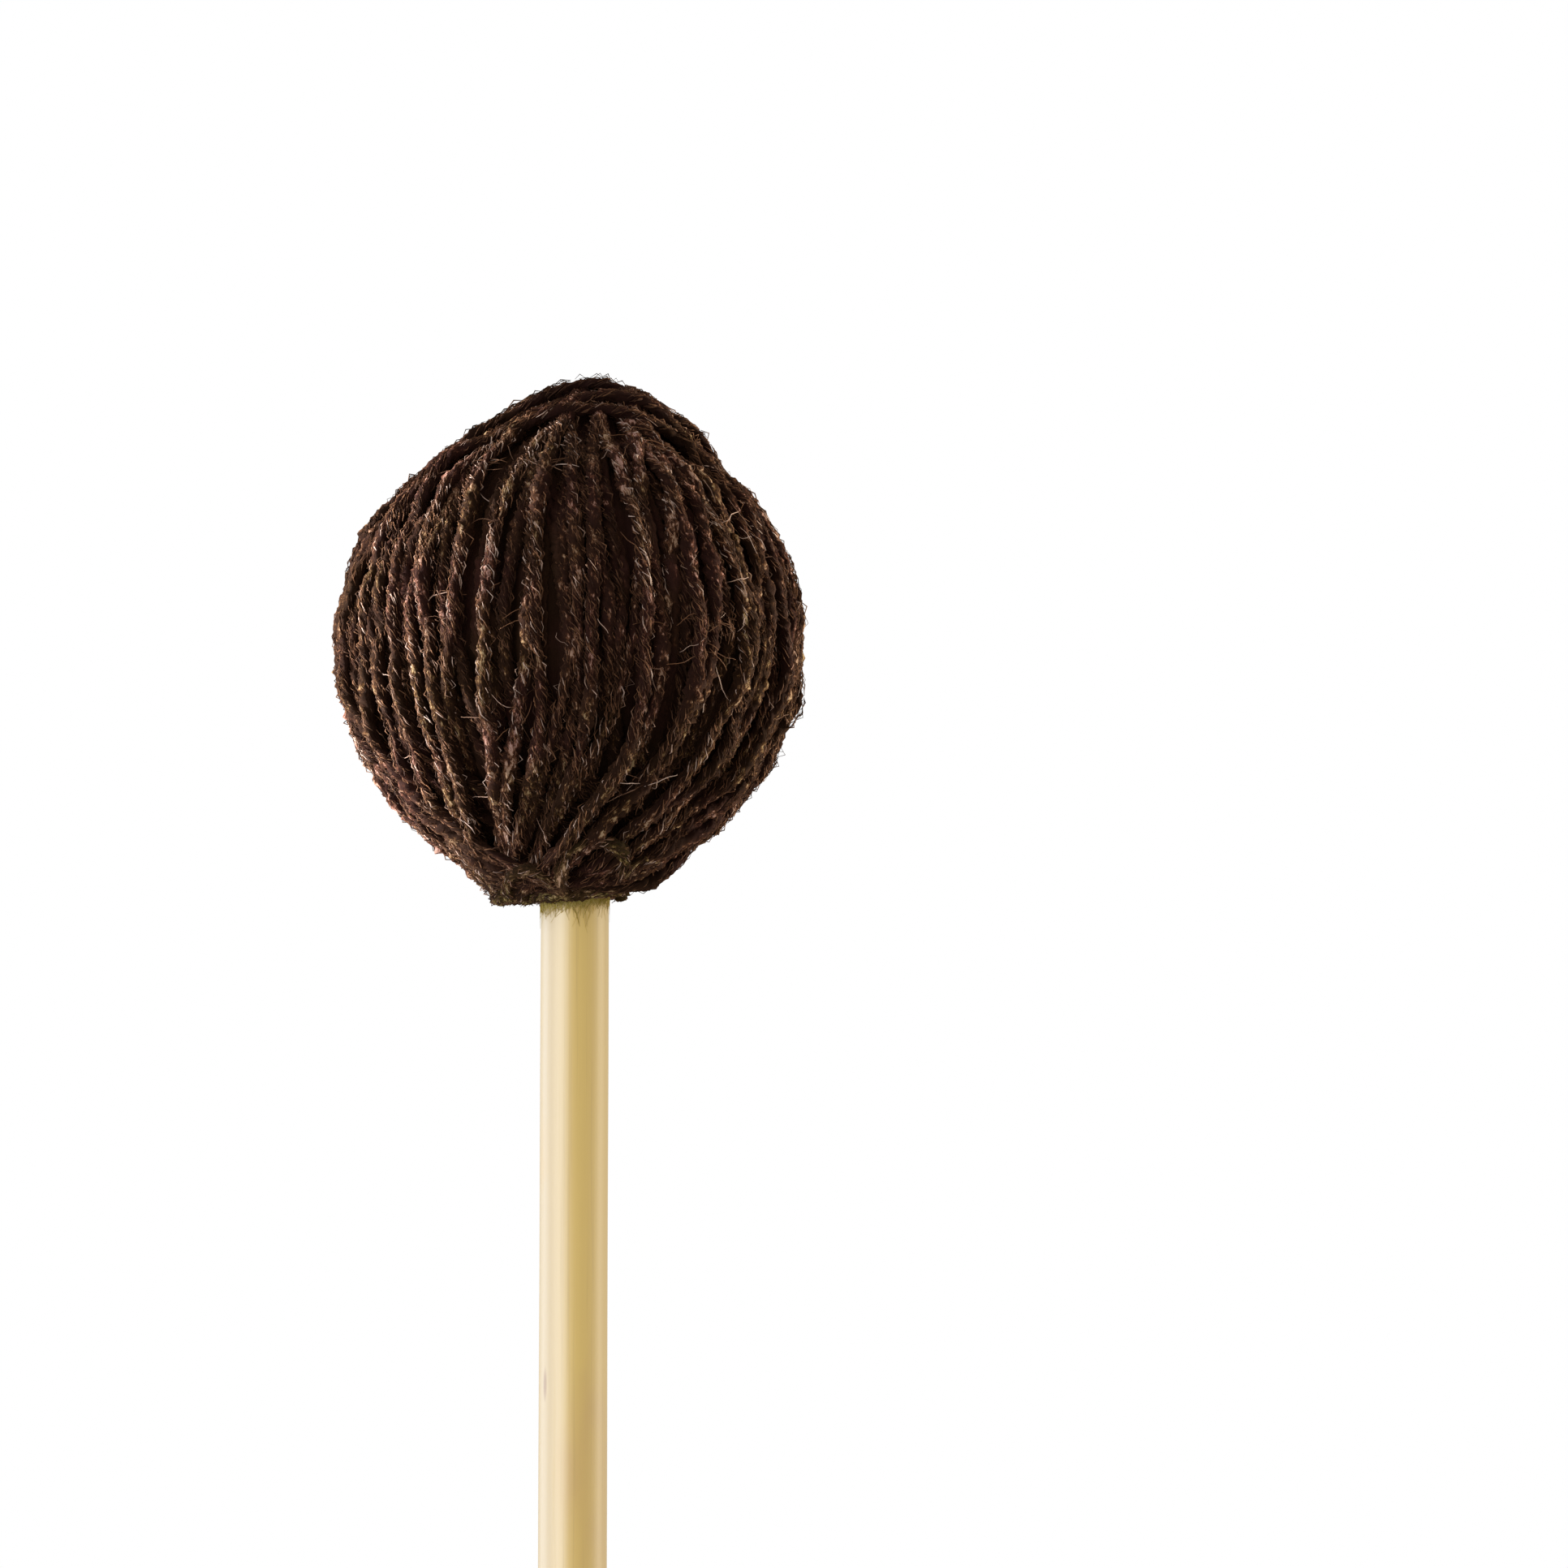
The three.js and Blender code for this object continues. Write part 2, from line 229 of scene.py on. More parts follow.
def rattan_rod():
    """Surface turned round the axis: a flat butt, its edge a quarter circle, the straight rod,
    and the bevel and flat of the head's end. The radius is a little uneven by two sines, each
    of which advances with the height and with a whole multiple of the turn."""
    edge = np.linspace(0, math.pi / 2, edge_steps)
    inner = handle_radius - butt_edge_radius
    butt_edge = inner + butt_edge_radius * np.sin(edge)
    head_end = [handle_radius - head_end_bevel, 0.0]
    radius = np.concatenate([[0.0], butt_edge, np.full(rod_rings, handle_radius), head_end])
    straight_low = handle_low.z + butt_edge_radius
    straight = np.linspace(straight_low, handle_high.z - head_end_bevel, rod_rings + 1)
    height = np.concatenate([[handle_low.z], handle_low.z + butt_edge_radius * (1 - np.cos(edge))])
    height = np.concatenate([height, straight[1:], [handle_high.z, handle_high.z]])
    turn = np.linspace(0, 2 * math.pi, rod_sides, endpoint=False)
    waves = sum(np.sin(rate * height[:, None] + lobes * turn) for rate, lobes in rod_waves)
    reach = radius[:, None] - rod_unevenness * (1 + waves / 2) * (radius[:, None] > inner)
    z = height[:, None] + 0 * reach
    points = np.stack([reach * np.cos(turn), reach * np.sin(turn), z], -1).reshape(-1, 3)
    return put_mesh("rattan_rod", points, [grid_faces(len(height), rod_sides)])


rod = rattan_rod()
rod.data.materials.append(lacquered_rattan())
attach(rod, "root")
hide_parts("rattan_handle")

# Core and glue
# A ball of black rubber, moulded with a blind bore, is glued on the end of the rod. The
# glue sets as an amber ring in the bore's mouth. Both are out of sight under the yarn.
rubber_black = (0.018, 0.016, 0.015, 1)
rubber_bloom = (0.05, 0.046, 0.042, 1)
glue_amber = (0.55, 0.34, 0.12, 1)
glue_clear = (0.66, 0.47, 0.22, 1)
rubber_roughness = 0.75
glue_roughness = 0.3
rubber_mottle = 900
glue_mottle = 1400
mottle_relief = 0.0001
mottle_bump = 0.3
mottle_places = (0.35, 0.65)


def mottled(name, roughness, scale, dark, light):
    """A moulded or set surface: two colours mixed by noise, and a faint unevenness."""
    material, tree, shader = finish_named(name, roughness)
    place = put(tree, "ShaderNodeTexCoord").outputs["Object"]
    cloud = noise(tree, place, (scale, scale, scale))
    stops = list(zip(mottle_places, (dark, light)))
    tree.links.new(ramp(tree, cloud, stops), shader.inputs["Base Color"])
    bumped(tree, shader, cloud, mottle_bump, mottle_relief)
    return material


def refinish(node, material):
    """Gives a CAD node one material, on all its faces."""
    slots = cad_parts[node].data.materials
    slots.clear()
    slots.append(material)


rubber = mottled("moulded_rubber", rubber_roughness, rubber_mottle, rubber_black, rubber_bloom)
refinish("rubber_core", rubber)
glue = mottled("set_glue", glue_roughness, glue_mottle, glue_amber, glue_clear)
refinish("core_glue", glue)

# Inner winding
# The lower layers of yarn: hundreds of turns wound tight over the core until the head
# has its shape. Only a dark ridged ground is seen of them between the strands on top. Their
# wool has darker fibres and tips than the top strands', which is painted shade.
core_low, core_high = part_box("rubber_core")
core_radius = (core_high.x - core_low.x) / 2
head_height = core_high.z - core_radius
belly_radius = 0.01625
dome_radius = 0.0088
dome_height = 0.0101
cone_slope = math.radians(45)
cone_end_radius = 0.0062
bottom_edge_radius = 0.0010
bottom_drop = 0.01755
outline_points = 60
outline_fineness = 20
head_offset = 0.0004
base_tilt = 0.12
base_start = 0.010
shoulder_height = 0.0095
crown_lean = 0.0022
hub_height = 0.005
handle_clearance = 0.0004
ground_depth = 0.0016
ground_hollow = 0.0009
hollow_from = 0.3
ground_ridges = 90
ridge_height = 0.00022
ground_rings = 96
ground_sides = 360
# Painted shade: the wool of the hidden layers, with darker fibres and tips than the top strands'.
hidden_shadow = (0.027, 0.0118, 0.0080, 1)
hidden_body = (0.035, 0.0142, 0.0092, 1)
hidden_fibre = (0.048, 0.0196, 0.0120, 1)
hidden_tips = (0.120, 0.056, 0.032, 1)
fibre_streaks = (1300, 14, 1)
streak_detail = (5.0, 0.75)
streak_band = (0.36, 0.68)
lump_scale = (850, 850, 850)
lump_detail = (4.0, 0.65)
lump_band = (0.36, 0.64)
# Painted light and shade: the weight of the crest value, lighter on ply tops that face out.
painted_crest_weight = 0.66
lump_weight = 0.56
tone_weight = 0.40
lightness_range = (0.66, 1.80)
wool_places = (0.15, 0.64, 0.86, 1.0)
hue_scale = (150, 150, 150)
hue_detail = 2.0
hue_stops = [(0.40, (1.08, 0.93, 1.00, 1)), (0.60, (0.96, 1.02, 0.72, 1))]
wool_roughness = 0.9
wool_gloss = 0.06
wool_sheen = 0.6
sheen_roughness = 0.3
sheen_tint = (0.16, 0.072, 0.038, 1)
fibre_relief = 0.00018
fibre_bump = 0.7


def head_outline():
    """Angle above the belly and distance from the head's centre of points on the outline of
    the head. The outline is the dome's arc, its tangent to the belly's arc, that arc, its
    tangent cone, and the rounded edge of a flat bottom."""
    shoulder = math.asin((belly_radius - dome_radius) / dome_height)
    dome = np.linspace(math.pi / 2, shoulder, outline_points)
    belly = np.linspace(shoulder, -cone_slope, outline_points)
    edge = np.linspace(-cone_slope, -math.pi / 2, outline_points)
    edge_middle = cone_end_radius - bottom_edge_radius
    edge_out = edge_middle + bottom_edge_radius * np.cos(edge)
    edge_up = bottom_edge_radius - bottom_drop + bottom_edge_radius * np.sin(edge)
    dome_up = dome_height + dome_radius * np.sin(dome)
    radius = [dome_radius * np.cos(dome), belly_radius * np.cos(belly), edge_out, [0]]
    radius = np.concatenate(radius)
    height = np.concatenate([dome_up, belly_radius * np.sin(belly), edge_up, [-bottom_drop]])
    marks = np.arange(len(radius))
    way = np.linspace(0, marks[-1], outline_fineness * len(radius))
    radius = np.interp(way, marks, radius)
    height = np.interp(way, marks, height)
    return np.arctan2(height, radius)[::-1], np.hypot(radius, height)[::-1]


outline_angle, outline_reach = head_outline()


def reach_at(angle):
    """Distance from the head's centre to its outline, read at an angle above the belly."""
    return np.interp(angle, outline_angle, outline_reach)


def leaned(points):
    """The points moved: the head sits a little to the left of the handle, above its shoulder
    the crown leans to the right by a square law, and its base is tilted up to the right."""
    rise = points[..., 2] - head_height
    above = np.clip((rise - shoulder_height) / (dome_height + dome_radius - shoulder_height), 0, 1)
    below = np.clip((rise + bottom_drop) / hub_height, 0, 1)
    moved = points.copy()
    moved[..., 0] += crown_lean * above**2 - head_offset * below
    low = np.clip((-rise - base_start) / (bottom_drop - base_start), 0, 1)
    moved[..., 2] += base_tilt * moved[..., 0] * low**2
    return moved


def wool(name, shadow, body, fibre, tips):
    """Spun wool: streaks of fibre along each ply plus weighted shares of the crest value, which is
    painted light on the tops of the plies that face out and painted shade in the grooves and on
    the sides, of lumps in the wool and of the strand's tone, which is random on the top strands
    and set low as painted shade on the deeper loops and the layer below, in browns between
    pinkish and olive."""
    material, tree, shader = finish_named(name, wool_roughness)
    along = put(tree, "ShaderNodeUVMap", uv_map="strand").outputs["UV"]
    crest = put(tree, "ShaderNodeAttribute", attribute_name="crest").outputs["Fac"]
    tone = put(tree, "ShaderNodeAttribute", attribute_name="tone").outputs["Fac"]
    place = put(tree, "ShaderNodeTexCoord").outputs["Object"]
    streaks = noise(tree, along, fibre_streaks, *streak_detail)
    lumps = between(tree, noise(tree, place, lump_scale, *lump_detail), *lump_band)
    lightness = between(tree, streaks, *streak_band)
    for share, weight in ((crest, painted_crest_weight), (lumps, lump_weight), (tone, tone_weight)):
        added = put(tree, "ShaderNodeMath", operation="MULTIPLY_ADD")
        tree.links.new(share, added.inputs[0])
        added.inputs[1].default_value = weight
        tree.links.new(lightness, added.inputs[2])
        lightness = added.outputs[0]
    stops = list(zip(wool_places, (shadow, body, fibre, tips)))
    colour = ramp(tree, between(tree, lightness, *lightness_range), stops)
    hue = noise(tree, place, hue_scale, hue_detail)
    colour = mixed(tree, 1.0, colour, ramp(tree, hue, hue_stops), "MULTIPLY")
    tree.links.new(colour, shader.inputs["Base Color"])
    bumped(tree, shader, streaks, fibre_bump, fibre_relief)
    shader.inputs["Sheen Weight"].default_value = wool_sheen
    shader.inputs["Sheen Roughness"].default_value = sheen_roughness
    shader.inputs["Sheen Tint"].default_value = sheen_tint
    shader.inputs["Specular IOR Level"].default_value = wool_gloss
    return material


def columns_round(faces, count):
    """Column of each corner of the faces of a tube that is this many columns round. In a face
    that closes the tube the first column counts as one past the last."""
    column = faces % count
    closes = np.ptp(column, axis=1, keepdims=True) > 1
    return column + count * (closes & (column == 0))


def ground_winding():
    """Surface turned round the axis: its reach is the outline less the ground's depth and a
    hollow that grows towards the base, plus ridges that follow the size of a sine. UV is
    (length from the belly on its radius, half the number of ridges passed)."""
    lowest = math.atan2(-bottom_drop, handle_radius + handle_clearance)
    angle = np.linspace(math.pi / 2, lowest, ground_rings)[:, None]
    turn = np.linspace(0, 2 * math.pi, ground_sides, endpoint=False)[None, :]
    ridge = ridge_height * np.abs(np.sin(turn * ground_ridges / 2)) * np.cos(angle)
    hollow = ground_hollow * np.clip(-np.sin(angle) - hollow_from, 0, 1)
    reach = reach_at(angle) - ground_depth - hollow + ridge
    reach[0] = reach[0].mean()
    beside = reach * np.cos(angle)
    z = head_height + reach * np.sin(angle)
    points = np.stack([beside * np.cos(turn), beside * np.sin(turn), z], -1).reshape(-1, 3)
    faces = grid_faces(ground_rings, ground_sides)[:, ::-1]
    piece = put_mesh("inner_winding_ground", leaned(points), [faces])
    length = belly_radius * angle[faces // ground_sides, 0]
    ridges_passed = columns_round(faces, ground_sides) * ground_ridges / (2 * ground_sides)
    uv = np.stack([length, ridges_passed], -1).astype(np.float32)
    piece.data.uv_layers.new(name="strand").data.foreach_set("uv", uv.ravel())
    return piece


# Painted shade: the ground and the layer below are given the hidden layers' darker wool.
painted_shade_wool = wool("painted_shade_wool", hidden_shadow, hidden_body, hidden_fibre, hidden_tips)
ground = ground_winding()
ground.data.materials.append(painted_shade_wool)
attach(ground, "root")
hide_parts("inner_winding")

# Outer winding
# The last layers: one strand of three-ply wool, wound over the crown and past the handle
# again and again while the head is turned. The inner winding's top layer is laid like it.
yarn_shadow = (0.0180, 0.0074, 0.0050, 1)
yarn_body = (0.0245, 0.0098, 0.0060, 1)
yarn_fibre = (0.118, 0.052, 0.0265, 1)
yarn_tips = (0.31, 0.205, 0.155, 1)
yarn_radius = 0.00046
ply_count = 3
ply_groove_share = 0.18
# Painted shade: the share of the crest's light that is left in the grooves between plies.
groove_painted_light = 0.45
ply_twist_length = 0.0042
twist_unevenness = 0.12
twist_change_steps = 10
plumpness_change = 0.20
plumpness_steps = 4
nub_share = 0.16
ring_corners = 12
steps_per_loop = 360
loops_per_stretch = 20
stretch_first_length = 2.5
lower_loops = 30
upper_loops = 25
cap_loops = 10
bearing_unevenness = 0.30
lower_depth = 0.00055
low_depth_growth = 1.0
# Painted shade: the low tone of the deeper loops, which lie under the top layer.
lower_painted_shade = 0.15
upper_tones = (0.15, 1.0)
cap_tone = 0.25
cap_bearing_width = math.radians(36)
cap_width = 0.0125
crown_scatter = 0.0019
base_scatter = 0.0011
sideways_wander = 0.00052
least_wander_share = 0.25
wander_steps = 33
depth_wander = 0.00024
highest_wander = 0.0003
lump_height = 0.00025
lump_steps = 4
tone_change = 0.20
tone_steps = 24
layer_step = 0.00125
under_loops = 46
under_steps = 240
under_corners = 8
under_first_bearing = 0.4
under_first_length = 9.0
crown_pile = 0.0026
base_pile = 0.0018
laid_flat_from = 0.94
pile_outer = 0.0115
pile_inner = 0.0035
pile_power = 1.3
gather_gone_at = 0.0036
gather_fade = 0.0020
gather_sharpness = 0.72
base_bunches = 23
base_gather_share = 0.98
base_gather_degrees = (8, 44)
crown_bunches = 30
crown_gather_share = 0.5
crown_gather_degrees = (24, 50)


def unit(vectors):
    """Each vector divided by its own length."""
    return vectors / np.linalg.norm(vectors, axis=-1, keepdims=True)


def wavering(count, reach):
    """Smooth random run, one standard deviation high: noise averaged under a bell curve, whose
    deviation is reach steps and which ends at three of them."""
    half = 3 * reach
    bell = np.exp(-0.5 * (np.arange(-half, half + 1) / reach) ** 2)
    run = np.convolve(chance.normal(size=count + 2 * half), bell, "valid")
    return (run - run.mean()) / run.std()


def wound_path(loops, bearings, crown_miss, base_miss, depth, steps):
    """Points of one strand and the way out at each. It goes up one side, over the crown at a
    miss distance times the rise, down, and past the handle at another miss distance times the
    cube of the drop. The plane of the loop turns with the bearing. Each point lies on the
    head's outline, moved sideways by the wander, and in by the depth and by the pile that
    comes to lie over it, which grows towards the axis as a share to a power and is less for
    the later loops. A point too near the handle is pushed out. The depth is one value for
    all, or one for each loop's start and the last one's end."""
    count = loops * steps + 1
    lap = np.arange(count) / steps
    around = 2 * math.pi * lap
    marks = np.arange(loops + 1)
    bearing = np.interp(lap, marks, bearings)
    home = np.interp(np.round(2 * lap) / 2, marks, bearings)
    home += math.pi * (np.cos(around) < 0)
    depth = np.interp(lap, marks, np.broadcast_to(depth, loops + 1))
    along = np.stack([np.cos(bearing), np.sin(bearing), 0 * bearing], -1)
    across = np.stack([-np.sin(bearing), np.cos(bearing), 0 * bearing], -1)
    lap_now = np.minimum(lap.astype(int), loops - 1)
    rise = np.sin(around)
    miss = np.where(rise > 0, crown_miss[lap_now] * rise, base_miss[lap_now] * -(rise**3))
    away = belly_radius * np.abs(np.cos(around))
    wander = wander_steps * steps // steps_per_loop
    wander_share = least_wander_share + (1 - least_wander_share) * np.abs(np.cos(around))
    sideways = miss + sideways_wander * wavering(count, wander) * wander_share
    way = (belly_radius * np.cos(around))[:, None] * along + sideways[:, None] * across
    way[:, 2] += belly_radius * rise
    out = unit(way)
    pile_share = np.clip((pile_outer - away) / (pile_outer - pile_inner), 0, 1) ** pile_power
    laid_share = np.clip(1 - lap / (laid_flat_from * loops), 0, 1)
    pile = np.where(rise > 0, crown_pile, base_pile) * pile_share * laid_share
    rough = np.minimum(depth_wander * wavering(count, wander), highest_wander)
    rough = rough + lump_height * wavering(count, lump_steps)
    low_share = np.clip(-out[:, 2], 0, 1)
    depth = depth * (1 + low_depth_growth * low_share)
    reach = reach_at(np.arcsin(out[:, 2])) - yarn_radius - depth - pile + rough
    points = reach[:, None] * out
    beside = np.hypot(points[:, 0], points[:, 1])
    least = handle_radius + handle_clearance + yarn_radius
    push = np.where((points[:, 2] < 0) & (beside < least), least / beside, 1)
    points[:, :2] *= push[:, None]
    points = gathered(points, home)
    points[:, 2] += head_height
    return leaned(points), out


def rounded_saw(angle):
    """Saw wave as high as its angle and falling back steeply at half a turn: twice the
    direction of 1 + s times the unit vector at the angle, where s is the sharpness."""
    return 2 * np.arctan2(gather_sharpness * np.sin(angle), 1 + gather_sharpness * np.cos(angle))


def gathered(points, home):
    """The points turned about the axis so that they bunch into spokes with gaps between, under
    the belly and again near the crown. The turn is a rounded saw wave of the home, which is
    the bearing where the half loop crosses the belly. It fades in between two angles above or
    below the belly, and out near the axis."""
    beside = np.hypot(points[:, 0], points[:, 1])
    above = np.degrees(np.arctan2(points[:, 2], beside))
    off_axis = np.clip((beside - gather_gone_at) / gather_fade, 0, 1)
    low = off_axis * np.clip((-above - base_gather_degrees[0]) / np.ptp(base_gather_degrees), 0, 1)
    high = off_axis * np.clip((above - crown_gather_degrees[0]) / np.ptp(crown_gather_degrees), 0, 1)
    turn = -base_gather_share * low * rounded_saw(base_bunches * home) / base_bunches
    turn -= crown_gather_share * high * rounded_saw(crown_bunches * home) / crown_bunches
    x, y, z = points.T
    turned_x = x * np.cos(turn) - y * np.sin(turn)
    turned_y = x * np.sin(turn) + y * np.cos(turn)
    return np.stack([turned_x, turned_y, z], -1)


def ply_section(corners):
    """Distance of the strand's outside from its middle line, as a share of its radius: a
    rounded crest on each ply and a groove between two."""
    turn = 2 * math.pi * np.arange(corners) / corners
    crest = np.abs(np.cos(turn * ply_count / 2))
    return 1 - ply_groove_share * (1 - crest), crest


def sides_of(points, out):
    """Two directions square to the strand at each point: to its side, and away from the head."""
    ways = unit(np.gradient(points, axis=0))
    side = unit(np.cross(ways, out))
    return side, np.cross(side, ways)


def put_value(piece, name, values):
    """Stores a value of each point of the piece under a name that its material reads."""
    attribute = piece.data.attributes.new(name, "FLOAT", "POINT")
    attribute.data.foreach_set("value", values.astype(np.float32))


def put_strand(name, points, out, tone, corners, first_length):
    """Twisted strand: the section of the plies is carried along the points and turned once
    in each twist length, and is scaled by a slow random plumpness and by random nubs. Its ends
    are closed. UV is (length in metres from a first one, turns of the twist). The crest is
    painted light and shade: 1 on the top of a ply that faces straight out, less in the grooves
    between plies, and 0 where the strand's skin faces aside."""
    side, lift = sides_of(points, out)
    steps = np.linalg.norm(np.diff(points, axis=0), axis=1)
    length = first_length + np.concatenate([[0], np.cumsum(steps)])
    share, crest = ply_section(corners)
    twist = length / ply_twist_length
    twist += twist_unevenness * wavering(len(length), twist_change_steps)
    angle = 2 * math.pi * (twist[:, None] + np.arange(corners)[None, :] / corners)
    plumpness = 1 + plumpness_change * wavering(len(length), plumpness_steps)
    nubs = 1 + nub_share * chance.normal(size=angle.shape)
    reach = yarn_radius * plumpness[:, None] * share[None, :] * nubs
    ring = np.cos(angle)[..., None] * side[:, None, :]
    ring += np.sin(angle)[..., None] * lift[:, None, :]
    skin = points[:, None, :] + reach[..., None] * ring
    count = len(points)
    quads = grid_faces(count, corners)
    first_cap = np.arange(corners)[None, ::-1]
    last_cap = (count - 1) * corners + np.arange(corners)[None, :]
    piece = put_mesh(name, skin.reshape(-1, 3), [quads, first_cap, last_cap])
    row = quads // corners
    uv = np.zeros((quads.size + 2 * corners, 2), np.float32)
    uv[: quads.size, 0] = length[row].ravel()
    uv[: quads.size, 1] = (twist[row] + columns_round(quads, corners) / corners).ravel()
    piece.data.uv_layers.new(name="strand").data.foreach_set("uv", uv.ravel())
    # Painted light and shade: ply tops that face out are lit, grooves and sides that face aside are
    # shaded.
    painted_facing_light = np.clip(np.sin(angle), 0, 1) ** 2
    painted_crest_light = (groove_painted_light + (1 - groove_painted_light) * crest[None, :]) * painted_facing_light
    put_value(piece, "crest", painted_crest_light.ravel())
    put_value(piece, "tone", np.repeat(tone, corners))
    return piece


def misses(sides):
    """How far each loop passes from the axis over the crown, and then past the handle, on the
    side that is given for it as 1 or -1."""
    loops = len(sides)
    crown_miss = chance.uniform(-crown_scatter, crown_scatter, loops)
    beside_handle = handle_radius + handle_clearance + yarn_radius
    return crown_miss, sides * (beside_handle + chance.uniform(0, base_scatter, loops))


def outer_path():
    """Path of the outer strand and its tone: a deeper layer of loops spread evenly round the
    head, a layer spread a little unevenly over it, and last the cap's loops side by side
    across the crown, from left to right. The deeper layer's low tone is painted shade; the
    layer over it gets random tones."""
    spread_loops = lower_loops + upper_loops
    loops = spread_loops + cap_loops
    cap_start = -cap_bearing_width / 2 + 2 * math.pi
    lower_bearings = cap_start - 2 * math.pi + math.pi * np.arange(lower_loops) / lower_loops
    upper_bearings = cap_start - math.pi + math.pi * np.arange(upper_loops) / upper_loops
    cap_bearings = cap_start + cap_bearing_width * np.arange(cap_loops + 1) / cap_loops
    uneven = bearing_unevenness * chance.uniform(-1, 1, upper_loops) * math.pi / upper_loops
    bearings = np.concatenate([lower_bearings, upper_bearings + uneven, cap_bearings])
    top_loops = upper_loops + cap_loops
    sides = np.concatenate([chance.choice([-1, 1], lower_loops), np.full(top_loops, -1)])
    crown_miss, base_miss = misses(sides)
    crown_miss[spread_loops:] = np.linspace(cap_width / 2, -cap_width / 2, cap_loops)
    depth = np.concatenate([np.full(lower_loops, lower_depth), np.zeros(top_loops + 1)])
    points, out = wound_path(loops, bearings, crown_miss, base_miss, depth, steps_per_loop)
    upper_loop_tones = chance.uniform(*upper_tones, upper_loops)
    loop_tones = np.concatenate([np.full(lower_loops, lower_painted_shade), upper_loop_tones])
    loop_tones = np.concatenate([loop_tones, np.full(cap_loops + 1, cap_tone)])
    lap = np.arange(len(points)) / steps_per_loop
    tone = np.interp(lap, np.arange(loops + 1), loop_tones)
    tone += tone_change * wavering(len(points), tone_steps)
    return points, out, np.clip(tone, 0, 1)


def under_path():
    """Path of the layer below: the same way of winding, coarser, with a start of its own."""
    bearings = under_first_bearing + math.pi * np.arange(under_loops + 1) / under_loops
    crown_miss, base_miss = misses(chance.choice([-1, 1], under_loops))
    return wound_path(under_loops, bearings, crown_miss, base_miss, layer_step, under_steps)


brown_wool = wool("brown_wool", yarn_shadow, yarn_body, yarn_fibre, yarn_tips)
under_points, under_out = under_path()
# Painted shade: the layer below gets the lowest tone.
under_painted_shade = np.zeros(len(under_points))
under = put_strand(
    "inner_winding_strand", under_points, under_out, under_painted_shade, under_corners, under_first_length
)
under.data.materials.append(painted_shade_wool)
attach(under, "root")
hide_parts("inner_winding")

strand_points, strand_out, strand_tone = outer_path()
stretch_steps = loops_per_stretch * steps_per_loop
for stretch, first in enumerate(range(0, len(strand_points) - 1, stretch_steps)):
    taken = slice(first, first + stretch_steps + 1)
    name = f"outer_winding_stretch_{stretch + 1}"
    parts = strand_points[taken], strand_out[taken], strand_tone[taken]
    strand = put_strand(name, *parts, ring_corners, stretch_first_length * stretch)
    strand.data.materials.append(brown_wool)
    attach(strand, "root")
    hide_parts("outer_winding")

# Base stitch
# The end of the yarn is drawn round the handle under the head and sewn in and out of the
# winding all round, which gathers it into a lumpy collar of small arches.
arch_count = 7
steps_per_arch = 70
arch_low = math.radians(-80)
arch_high = math.radians(-65)
arch_tallness = (0.2, 0.7)
arch_extra_height = 0.6
arch_tallest_at = math.radians(-50)
arch_fullness = 0.6
arch_swing = 0.12
arch_swing_shares = (0.4, 1.5)
arch_stand = -0.00045
collar_tilt = 0.0006
collar_lowest = math.radians(-110)
neck_turns = 1.7
neck_steps = 150
neck_drop = 0.0178
neck_climb = 0.0004
neck_out_fall = 0.5
stitch_first_length = 20.0
stitch_tone = 0.6
stitch_tone_change = 0.25
stitch_tone_steps = 20
stitch_shadow = (0.0150, 0.0085, 0.0035, 1)
stitch_body = (0.039, 0.0220, 0.0085, 1)
stitch_fibre = (0.175, 0.110, 0.052, 1)
stitch_tips = (0.42, 0.30, 0.18, 1)


def arch_path():
    """Arches round the handle as one strand. Its angle below the belly goes up and down as
    a sine's size to a power, and its bearing swings back at each foot, so that the feet of
    neighbouring arches cross. The arches are tallest at one bearing, by a cosine, and the
    strand lies a stand above the head's outline."""
    count = arch_count * steps_per_arch + 1
    turn = np.arange(count) / steps_per_arch
    marks = np.arange(arch_count + 1)
    tallness = np.interp(turn, marks + 0.5, chance.uniform(*arch_tallness, arch_count + 1))
    from_tallest = 2 * math.pi * turn / arch_count - arch_tallest_at
    tallness += arch_extra_height * np.clip(np.cos(from_tallest), 0, 1)
    swing_shares = chance.uniform(*arch_swing_shares, arch_count + 1)
    swing = arch_swing * np.interp(turn, marks, swing_shares)
    height = tallness * np.abs(np.sin(math.pi * turn)) ** arch_fullness
    angle = arch_low + (arch_high - arch_low) * height
    bearing = 2 * math.pi * turn / arch_count - swing * np.sin(2 * math.pi * turn)
    beside = np.cos(angle)
    out = np.stack([beside * np.cos(bearing), beside * np.sin(bearing), np.sin(angle)], -1)
    points = (reach_at(angle) + arch_stand)[:, None] * out
    points[:, 2] += head_height - collar_tilt * np.cos(bearing - collar_lowest)
    return leaned(points), out


def neck_path():
    """Turns drawn tight round the handle: a helix that is lowest in front to the left."""
    turn = 2 * math.pi * neck_turns * np.linspace(0, 1, neck_steps)
    radius = handle_radius + handle_clearance + yarn_radius
    height = head_height - neck_drop + neck_climb * turn / (2 * math.pi)
    height -= collar_tilt * np.cos(turn - collar_lowest)
    points = np.stack([radius * np.cos(turn), radius * np.sin(turn), height], -1)
    out = np.stack([np.cos(turn), np.sin(turn), np.full(neck_steps, -neck_out_fall)], -1)
    return points, unit(out)


